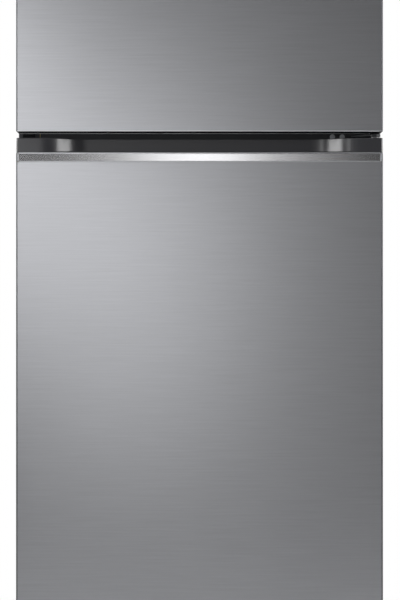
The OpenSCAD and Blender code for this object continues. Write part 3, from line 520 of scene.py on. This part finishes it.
# %% Pocket floor, trough and pin collar
trough_x, trough_y = 215.0, (cap_y[0] + 12, cap_y[0] + pocket_depth)
floor_piece = block("handle_pocket_floor", (cap_x[0] + 2, cap_x[1] - 2),
                    (cap_y[0] + 1.5, cap_y[1] - 2), (lid_z + 0.2, lid_z + 2))
for wall_t in (0, 3):
    cut(x=-trough_x - wall_t)
    cut(x=trough_x + wall_t)
    cut(y=trough_y[0] - wall_t)
    cut(y=trough_y[1] + wall_t)
pick("faces", lambda p, n: n.z < -0.9 and abs(p.x) < trough_x + 3
     and trough_y[0] - 3 < p.y < trough_y[1] + 3)
pull(z=-25)
pick("faces", lambda p, n: n.z > 0.9 and abs(p.x) < trough_x and trough_y[0] < p.y < trough_y[1])
pull(z=-24)
modify(floor_piece, "BEVEL", width=0.8 * MM, segments=2, limit_method="ANGLE")
place(floor_piece, "fridge_door", dark_abs, "handle_cap")

pin_x, pin_y = 336.0, cap_y[0] + 27  # the hinge axis, as in the CAD


def collar(name, body, z):
    """A short ring round a hinge pin, with rounded rims."""
    ring = disc(name, (pin_x, pin_y, sum(z) / 2), 9, z[1] - z[0])
    pick("faces", lambda p, n: abs(n.z) > 0.9)
    inset(4.4)
    bpy.ops.mesh.bridge_edge_loops()
    outward()
    modify(ring, "BEVEL", width=0.7 * MM, segments=3, limit_method="ANGLE")
    return place(ring, body, dark_abs)


collar("pin_collar_handle", "fridge_door", (wall_top - 1, wall_top + 3.5))
print("pocket floor:", len(floor_piece.data.polygons), "faces")

# %% [markdown]
# ## Metal strip
# The strip is one drawn aluminium section with closed ends: a satin band sits a little below a
# narrow bright frame, leaning back a few degrees. The block's corners are rounded, its face is
# inset twice, once for the frame and once for the step down, the band's upper edge is moved
# back, and the frame's edges get a fine round that catches light.

# %% Handle strip
frame_width, band_lean = 1.7, 2.1
strip = block("handle_strip_front", strip_x, strip_y, strip_z)
pick("edges", lambda p, d: abs(d.y) > 0.9)
bevel(2.4, 4)
pick("faces", lambda p, n: n.y < -0.99)
inset(frame_width)
inset(0.4, -0.45)
pick("verts", lambda p, n: strip_y[0] + 0.3 < p.y < strip_y[0] + 1
     and p.z > sum(strip_z) / 2)
bpy.ops.transform.translate(value=(0, band_lean * MM, 0))
pick("edges", lambda p, d: p.y < strip_y[0] + 0.01 and not (
    abs(p.x) < strip_x[1] - 1.5 and strip_z[0] + 1.5 < p.z < strip_z[1] - 1.5))
bevel(0.6, 3)
place(strip, "fridge_door", strip_metal, "handle_strip", turn=30)
strip_frame = brushed_coat("aluminium_polished_edge", "#c4c5c9", 0.42, 0.02, 0.02,
                           (300.0, 20.0, 0.7))
paint(strip, strip_frame, lambda p, n: p.y < strip_y[0] + 0.4 or n.y > -0.9)
print("strip:", len(strip.data.polygons), "faces")

# %% [markdown]
# ## End caps and hinges
# The mouldings that close the doors' ends, the hinge plates and their screws have the right
# shape in the CAD already, but every edge of a real one is a little round and shows as a fine
# line of light. Each is copied, welded, and given that round by a bevel limited to sharp
# angles.

# %% End caps, hinges, screws
# Painted shade: the freezer door's bottom cap, in the gap, takes the darker, duller black.
eased("freezer_door_bottom_cap", "freezer_door", black_abs_painted_shade, 1.2, 3)
eased("freezer_door_top_cap", "freezer_door", dark_abs, 1.2, 3)
eased("fridge_door_bottom_cap", "fridge_door", dark_abs, 1.2, 3)
eased("top_hinge", "cabinet", zinc_plate, 0.5)
# Painted shade: the middle hinge, in the gap between the doors, takes the dark paint; the other
# hinges are zinc.
eased("middle_hinge", "cabinet", dark_paint_and_painted_shade, 0.6, 3)
eased("bottom_hinge", "cabinet", zinc_plate, 0.5)
eased("hinge_screws", "cabinet", zinc_plate, 0.6)
# Painted shade: the hole covers, in the gap, take the darker, duller black.
eased("hole_covers", "cabinet", black_abs_painted_shade, 1.0)
print("caps and hinges eased")

# %% [markdown]
# The cover over the top hinge is a small moulded cap, open below. A block gets round corners
# and a round rim, loses its underside and gets a wall.

# %% Cover over the top hinge
lid_x, lid_y, lid_span = span("top_hinge_cover")
hinge_lid = block("top_hinge_cover_shell", lid_x, lid_y, lid_span)
pick("edges", lambda p, d: abs(d.z) > 0.9)
bevel(9, 6)
pick("edges", lambda p, d: p.z > lid_span[1] - 0.1)
bevel(5, 5)
pick("faces", lambda p, n: n.z < -0.99)
bpy.ops.mesh.delete(type="FACE")
modify(hinge_lid, "SOLIDIFY", thickness=2 * MM, offset=-1)
place(hinge_lid, "cabinet", dark_abs, "top_hinge_cover")
print("top hinge cover:", len(hinge_lid.data.polygons), "faces")

# %% [markdown]
# ## Cabinet
# The case is one sheet of painted steel bent over the top, with a flange turned in behind the
# doors. It starts as a block: the bends are bevels, cuts mark the opening, and the faces that
# aren't there on the real case are deleted before the sheet gets its gauge. The back is
# galvanised, with shallow pressed panels that stop it drumming.

# %% Case
case_x, case_y, case_z = span("outer_case")
case = block("case_sheet", case_x, case_y, case_z)
pick("edges", lambda p, d: abs(d.y) > 0.9 and p.z > case_z[1] - 1)
bevel(5, 5)
pick("edges", lambda p, d: p.y < case_y[0] + 0.1 and p.z > case_z[0] + 1)
bevel(1.5, 3)
flange = 41
cut(x=case_x[0] + flange)
cut(x=case_x[1] - flange)
cut(z=case_z[1] - flange)
pick("faces", lambda p, n: n.y < -0.99 and abs(p.x) < case_x[1] - flange
     and p.z < case_z[1] - flange)
bpy.ops.mesh.delete(type="FACE")
pick("faces", lambda p, n: n.y > 0.99 or n.z < -0.99)
bpy.ops.mesh.delete(type="FACE")
modify(case, "SOLIDIFY", thickness=1 * MM, offset=-1)
place(case, "cabinet", case_paint, "outer_case")
# Painted shade: the front flange, behind the doors, takes the dark paint.
paint(case, dark_paint_and_painted_shade, lambda p, n: n.y < -0.9)
print("case:", len(case.data.polygons), "faces")

# %% Back panel with pressed fields
back_x, back_y, back_z = span("back_panel")
back = block("back_sheet", back_x, back_y, back_z)
gaps = [back_z[0] + 30 + i * (back_z[1] - back_z[0] - 60) / 3 for i in range(4)]
for edge in (-1, 1):
    cut(x=edge * (back_x[1] - 35))
for low, high in zip(gaps, gaps[1:]):
    cut(z=low + 15)
    cut(z=high - 15)
for low, high in zip(gaps, gaps[1:]):
    pick("faces", lambda p, n: n.y > 0.99 and abs(p.x) < back_x[1] - 35
         and low + 15 < p.z < high - 15)
    inset(7, -0.7)
    inset(60)
    inset(7, 0.6)
modify(back, "BEVEL", width=0.3 * MM, segments=2, limit_method="ANGLE",
       angle_limit=math.radians(60), use_clamp_overlap=True)
place(back, "cabinet", galvanised, "back_panel")
print("back:", len(back.data.polygons), "faces")

# %% [markdown]
# The lower sheet metal, the grille, the feet and the rollers already have their shape in the
# CAD, so they are eased copies too.

# %% Lower sheet metal and the grille
eased("machine_cover", "cabinet", galvanised, 0.4, 1)
eased("base_frame", "cabinet", galvanised, 0.4, 1)
eased("mullion_rail", "cabinet", dark_paint_and_painted_shade, 0.3, 1)
eased("toe_grille", "cabinet", dark_abs, 0.7)
for side in ("left", "right"):
    eased("foot_" + side, "foot_" + side, dark_abs, 0.8)
    eased("roller_" + side, "roller_" + side, black_rubber, 0.8)
eased("roller_axles", "cabinet", zinc_plate, 0.5)
print("base done")

# %% [markdown]
# ## Liners
# A refrigerator's inside is one sheet of white polystyrene, drawn by vacuum into a box with
# wide round corners. It is modelled as the air inside: a block whose corners are bevelled and
# whose front is removed. The rim is then extruded outwards to the flange, the faces are turned
# to look inwards, and the sheet gets its thickness on the foam's side.

# %% Cabinet liners
def formed_cavity(name, node, z, step=None, sill=None):
    x, y = span(node)[:2]
    wide, front, rear = x[1] - 6, y[0], y[1] - 2
    cavity = block(name, (-wide, wide), (front, rear), (step[1] if step else z[0], z[1]))
    if step:
        cut(y=step[0])
        pick("faces", lambda p, n: n.z < -0.9 and p.y < step[0])
        pull(z=z[0] - step[1])
        bpy.ops.mesh.select_all(action="SELECT")
        bpy.ops.mesh.dissolve_limited(angle_limit=math.radians(1))
    pick("edges", lambda p, d: abs(d.y) > 0.9 and abs(p.x) > wide - 1)
    bevel(20, 6)
    pick("edges", lambda p, d: p.y > front + 1 and abs(d.y) < 0.9)
    bevel(9, 4)
    pick("faces", lambda p, n: n.y < -0.99)
    bpy.ops.mesh.delete(type="FACE")
    pick("edges", lambda p, d: p.y < front + 0.1)
    bpy.ops.mesh.extrude_edges_move(TRANSFORM_OT_translate={"value": (0, 0, 0)})
    half_z = (z[1] - z[0]) / 2
    bpy.ops.transform.resize(value=((wide + 6) / wide, 1, (half_z + 5) / half_z),
                             center_override=(0, front * MM, sum(z) / 2 * MM))
    if sill:
        pick("verts", lambda p, n: p.z < z[0] - 1 and abs(p.y - front) < 0.1)
        bpy.ops.transform.translate(value=(0, 0, (sill - z[0] + 5) * MM))
    bpy.ops.mesh.select_all(action="SELECT")
    bpy.ops.mesh.remove_doubles(threshold=0.01 * MM)
    bpy.ops.mesh.flip_normals()
    modify(cavity, "BEVEL", width=3 * MM, segments=3, limit_method="ANGLE",
           angle_limit=math.radians(60))
    modify(cavity, "SOLIDIFY", thickness=2 * MM, offset=-1)
    return place(cavity, "cabinet", white_hips, node)


fridge_box = formed_cavity("fridge_liner_formed", "fridge_liner", (100, 1168), (118, 284), 54)
freezer_box = formed_cavity("freezer_liner_formed", "freezer_liner", (1240, 1708))
print("liners:", len(fridge_box.data.polygons), len(freezer_box.data.polygons), "faces")

# %% [markdown]
# ## Inside of the doors
# A door's liner has a raised ridge all round that carries the bins and closes the cold air in.
# The soft gasket round it is a hollow vinyl section with a bellows groove and a magnet in its
# flat front.

# %% Door liners and gaskets
def formed_door(name, body, node, ridge_z):
    x, y, z = span(node)
    sheet_y, ridge_x, ridge_w = y[0] + 2, 288, 30
    liner = block(name, x, (y[0], sheet_y), z)
    for step in (0, ridge_w):
        cut(x=-ridge_x + step)
        cut(x=ridge_x - step)
        cut(z=ridge_z[0] + step)
        cut(z=ridge_z[1] - step)
    pick("faces", lambda p, n: n.y < 0.9)
    bpy.ops.mesh.delete(type="FACE")
    pick("faces", lambda p, n: abs(p.x) < ridge_x and ridge_z[0] < p.z < ridge_z[1] and not (
        abs(p.x) < ridge_x - ridge_w and ridge_z[0] + ridge_w < p.z < ridge_z[1] - ridge_w))
    pull(y=y[1] - sheet_y)
    pick("edges", lambda p, d: abs(d.y) > 0.9)
    bevel(12, 4)
    modify(liner, "BEVEL", width=6 * MM, segments=4, limit_method="ANGLE",
           angle_limit=math.radians(60), use_clamp_overlap=True)
    modify(liner, "SOLIDIFY", thickness=1.6 * MM, offset=-1)
    return place(liner, body, white_hips, node)


def gasket_ring(name, body, node):
    x, y, z = span(node)
    ring = block(name, x, y, z)
    pick("edges", lambda p, d: abs(d.y) > 0.9)
    bevel(10, 5)
    pick("faces", lambda p, n: abs(n.y) > 0.99)
    inset(16)
    bpy.ops.mesh.bridge_edge_loops()
    outward()
    pick("faces", lambda p, n: abs(n.y) < 0.1 and abs(p.y - sum(y) / 2) < 0.1)
    inset(3.2, -2.5)
    modify(ring, "BEVEL", width=0.8 * MM, segments=2, limit_method="ANGLE",
           angle_limit=math.radians(35), use_clamp_overlap=True)
    return place(ring, body, grey_pvc, node)


formed_door("freezer_door_liner_formed", "freezer_door", "freezer_door_liner", (1252, 1696))
formed_door("fridge_door_liner_formed", "fridge_door", "fridge_door_liner", (112, 1156))
ring = gasket_ring("freezer_gasket_ring", "freezer_door", "freezer_door_gasket")
gasket_ring("fridge_gasket_ring", "fridge_door", "fridge_door_gasket")
print("gasket:", len(ring.data.polygons), "faces")

# %% [markdown]
# Each door bin is a clear tub between the ridge's sides. A block gets its round corners, is
# opened at the top and given its wall; then a white trim is clipped along its front rim, as a
# grip and a stiffener.

# %% Door bins
def door_bin(name, body, z, y=(-299.5, -195.0), half_x=258.0):
    tub = block(name, (-half_x, half_x), y, z)
    pick("edges", lambda p, d: abs(d.z) > 0.9)
    bevel(12, 6)
    pick("edges", lambda p, d: p.z < z[0] + 0.1)
    bevel(5, 4)
    pick("faces", lambda p, n: n.z > 0.99)
    bpy.ops.mesh.delete(type="FACE")
    modify(tub, "SOLIDIFY", thickness=2.2 * MM, offset=-1)
    place(tub, body, crystal)
    rim = block(name + "_trim", (-half_x + 14, half_x - 14), (y[1] - 0.6, y[1] + 2),
                (z[1] - 13, z[1] - 0.6))
    pick("edges", lambda p, d: p.y > y[1] + 1.9)
    bevel(1.2, 3)
    pick("faces", lambda p, n: n.y > 0.99)
    inset(1.5)
    inset(0.6, -0.5)
    place(rim, body, white_abs)
    return tub


freezer_bins = [door_bin("freezer_bin_" + n, "freezer_door", z)
                for n, z in (("low", (1302, 1390)), ("high", (1492, 1580)))]
fridge_bins = [door_bin("fridge_bin_" + n, "fridge_door", z)
               for n, z in (("bottles", (155, 305)), ("middle", (510, 605)), ("top", (810, 905)))]
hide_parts("freezer_door_bins")
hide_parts("fridge_door_bins")
print("bins:", len(freezer_bins) + len(fridge_bins))

# %% [markdown]
# ## Inside the cabinet
# Shelves, drawers and mouldings are eased copies of their CAD nodes as well; the clear ones
# take thicker rounds, because a clear edge shows mostly as the light it bends.

# %% Inside fittings
for node, finish_of, edge in (
        ("shelf_rails", white_hips, 2.0), ("evaporator_cover", white_abs, 0.8),
        ("freezer_shelf", white_abs, 1.5), ("crisper_cover", white_abs, 1.5),
        ("shelf_frames", white_abs, 1.5), ("shelf_panes", pane_glass, 0.8),
        ("ice_tray_housing", white_abs, 1.0), ("air_duct", white_abs, 1.2),
        ("lamp_lens", frosted, 2.0), ("control_housing", white_abs, 2.5)):
    eased(node, "cabinet", finish_of, edge)
for node, finish_of, edge in (
        ("ice_tray", white_abs, 1.2), ("ice_bin", crystal, 1.0),
        ("temperature_knob", dark_abs, 1.0), ("humidity_slider", dark_abs, 0.6),
        ("crisper_drawer", crystal, 1.0), ("chill_drawer", crystal, 1.0),
        ("evaporator_fan", white_abs, 0.6), ("condenser_fan", white_abs, 0.6)):
    eased(node, node, finish_of, edge)
print("fittings done")

# %% [markdown]
# The machine room behind the lower cover shows only through its slots. Its parts are eased
# copies as well.

# %% Machine room
eased("compressor", "cabinet", black_enamel, 1.0, turn=50)
eased("compressor_mounts", "cabinet", black_rubber, 0.8)
eased("condenser_shroud", "cabinet", dark_abs, 0.8)
eased("drain_pan", "cabinet", dark_abs, 0.8)
eased("fan_motors", "cabinet", galvanised, 1.0)
print("machine room done")

# %% [markdown]
# Foam, the evaporator and the condenser keep their CAD meshes and only get their finish.

# %% Carried-over nodes
def finish_node(node, finish):
    carried = frame["nodes"][node]
    carried.data.materials.clear()
    carried.data.materials.append(finish)


for node in ("cabinet_foam", "freezer_door_foam", "fridge_door_foam"):
    finish_node(node, foam_yellow)
finish_node("evaporator", mill_aluminium)
finish_node("condenser_coil", black_enamel)
print("carried-over nodes finished")

# %% [markdown]
# ## Floor, light and camera
# The camera stands level in front of the doors, far back with a long lens, so upright lines
# stay upright. The light is a plain studio. Soft panels in front on the left make the slow
# fall of light across the doors, two wide ones at the sides show in the curved pocket ends, and
# a high one behind the camera is what the metal strip mirrors. More stand behind for the other
# sides, and each compartment has its own lamp, which only shows when its door is open. The
# floor is a pale disc that ends before it enters the main view.

# %% Floor
floor_radius = 2.2
let_go()
bpy.ops.mesh.primitive_circle_add(vertices=96, radius=floor_radius, fill_type="NGON")
ground = bpy.context.object
ground.name = "studio_floor"
paper, _, paper_shader = finish("paper_pale", Roughness=0.8)
paper_shader.inputs["Base Color"].default_value = colour("#e8e8e8")
ground.data.materials.append(paper)

# %% Camera
distance, eye_height, eye_side = 5.0, 0.885, 0.00095
view_height, sensor = 1.1442, 36
front_y = cad_low[1] + 0.001
lens = bpy.data.cameras.new("view")
lens.lens = sensor * distance / view_height
lens.clip_end = 50
eye = bpy.data.objects.new("view", lens)
eye.location = (eye_side, front_y - distance, eye_height)
eye.rotation_euler = (math.radians(90), 0, 0)
bpy.context.scene.collection.objects.link(eye)
bpy.context.scene.camera = eye
print("lens:", round(lens.lens, 1), "mm")

# %% Lights
def panel(name, place_at, aim_at, size, watts):
    """A soft rectangular light that the camera doesn't see."""
    lamp = bpy.data.lights.new(name, "AREA")
    lamp.shape, lamp.size, lamp.size_y, lamp.energy = "RECTANGLE", size[0], size[1], watts
    held = bpy.data.objects.new(name, lamp)
    held.location = place_at
    held.rotation_euler = (Vector(aim_at) - Vector(place_at)).to_track_quat("-Z", "Y").to_euler()
    held.visible_camera = False
    bpy.context.scene.collection.objects.link(held)
    return held


panel("key_left", (-0.45, -2.9, 1.15), (-0.2, -0.36, 1.1), (0.9, 0.5), 3.7)
panel("key_low", (-0.17, -2.2, 0.72), (-0.1, -0.36, 0.7), (0.35, 0.6), 0.74)
panel("key_high", (-0.75, -2.0, 1.5), (-0.3, -0.36, 1.4), (0.4, 0.4), 1.9)
panel("low_right", (0.4, -2.6, 0.6), (0.0, -0.36, 0.4), (0.8, 0.5), 0.22)
panel("low_middle", (0.0, -2.2, 0.35), (0.0, -0.36, 0.4), (0.8, 0.3), 0.04)
panel("side_left", (-2.4, -1.2, 1.6), (0, -0.36, 1.4), (1.6, 1.2), 38)
panel("side_right", (2.4, -1.2, 1.6), (0, -0.36, 1.4), (1.6, 1.2), 36)
panel("strip_glow", (-0.01, -6.5, 3.43), (0, -0.36, 1.15), (0.45, 0.6), 1.7)
panel("strip_spread", (-0.01, -6.5, 3.43), (0, -0.36, 1.15), (1.2, 0.6), 0.8)
panel("overhead_front", (0, -0.8, 3.6), (0, -0.2, 0.5), (2.4, 2.4), 15)
panel("overhead_rear", (0, 1.1, 3.4), (0, 0.3, 1.0), (2.4, 2.0), 60)
panel("rear_left", (-2.4, 2.6, 1.6), (0, 0.36, 0.9), (1.6, 1.6), 45)
panel("rear_right", (2.4, 2.6, 1.2), (0, 0.36, 0.8), (1.6, 1.6), 30)
panel("lamp_fridge", (0, 0.02, 1.15), (0, -0.06, 0.5), (0.24, 0.06), 10)
panel("lamp_freezer", (0, -0.05, 1.7), (0, -0.1, 1.3), (0.3, 0.1), 5)

# %% Surround
world = bpy.data.worlds.new("studio")
bpy.context.scene.world = world
world.use_nodes = True
sky = world.node_tree
sky.nodes.clear()
rays = add(sky, "LightPath")
shown = add(sky, "Background", {"Color": (1, 1, 1, 1), "Strength": 1.0})
way = add(sky, "SeparateXYZ", {0: add(sky, "TexCoord").outputs["Generated"]})
behind = add(sky, "MapRange", {"Value": way.outputs["Y"], "From Min": 0.0, "From Max": 0.5,
                               "To Min": 0.03, "To Max": 0.6})
lighting = add(sky, "Background", {"Color": (1, 1, 1, 1), "Strength": behind.outputs[0]})
either = add(sky, "MixShader", {0: rays.outputs["Is Camera Ray"], 1: lighting.outputs[0],
                                2: shown.outputs[0]})
add(sky, "OutputWorld", {"Surface": either.outputs[0]})
bpy.context.scene.view_settings.view_transform = "Standard"
print("lights and surround set")
